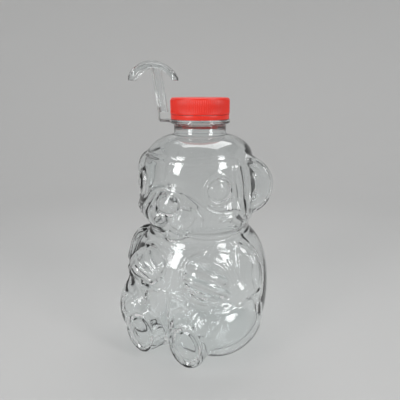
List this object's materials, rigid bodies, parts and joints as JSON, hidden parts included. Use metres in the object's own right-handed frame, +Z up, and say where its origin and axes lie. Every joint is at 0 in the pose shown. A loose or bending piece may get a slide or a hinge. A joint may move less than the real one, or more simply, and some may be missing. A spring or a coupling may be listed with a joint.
{
  "type": "honey bear bottle",
  "caption": "Clear blown bottle shaped as a sitting teddy bear, with a wide screw cap, a tamper band and a fold-out carrying handle on the neck.",
  "frame": {"origin": "on the base's flat underside, on the neck's axis, where the bottle stands on the table", "axes": "+Z up along the neck and the screw cap; the bear looks towards -Y; +X towards the bear's own left ear; the handle's hinge is 28 degrees round from -X towards -Y"},
  "size_m": [0.1126, 0.1093, 0.2061],
  "materials": {
    "clear_bottle": "clear, glossy blown plastic",
    "clear_handle": "clear, glossy moulded plastic",
    "red_cap": "bright red, satin to glossy",
    "white_liner": "white foam, matt"
  },
  "bodies": {
    "bottle": {"bear_body": "clear_bottle", "bear_head": "clear_bottle", "neck_finish": "clear_bottle"},
    "liner": {"cap_liner": "white_liner"},
    "cap": {"screw_cap": "red_cap"},
    "band": {"tamper_band": "red_cap"},
    "collar": {"handle_collar": "clear_handle"},
    "handle": {"handle_hinge_strap": "clear_handle", "handle_stem_and_grip": "clear_handle"}
  },
  "joints": [
    {"name": "cap_lift", "type": "slide", "parent": "bottle", "child": "liner", "axis": [0, 0, 1], "range_m": [0, 0.0105]},
    {"name": "cap_turn", "type": "hinge", "parent": "liner", "child": "cap", "pos_m": [0, 0, 0.1813], "axis": [0, 0, 1], "range_deg": [0, 421]},
    {"name": "band_spin", "type": "hinge", "parent": "bottle", "child": "band", "pos_m": [0, 0, 0.1695], "axis": [0, 0, 1], "continuous": true},
    {"name": "handle_swivel", "type": "hinge", "parent": "bottle", "child": "collar", "pos_m": [0, 0, 0.1671], "axis": [0, 0, 1], "continuous": true},
    {"name": "handle_fold", "type": "hinge", "parent": "collar", "child": "handle", "pos_m": [-0.02505, -0.01349, 0.1675], "axis": [0.4741, -0.8805, 0], "range_deg": [-2, 90]}
  ],
  "couplings": [
    {"joint": "cap_turn", "follows": "cap_lift", "rad_per_m": 698.13}
  ]
}
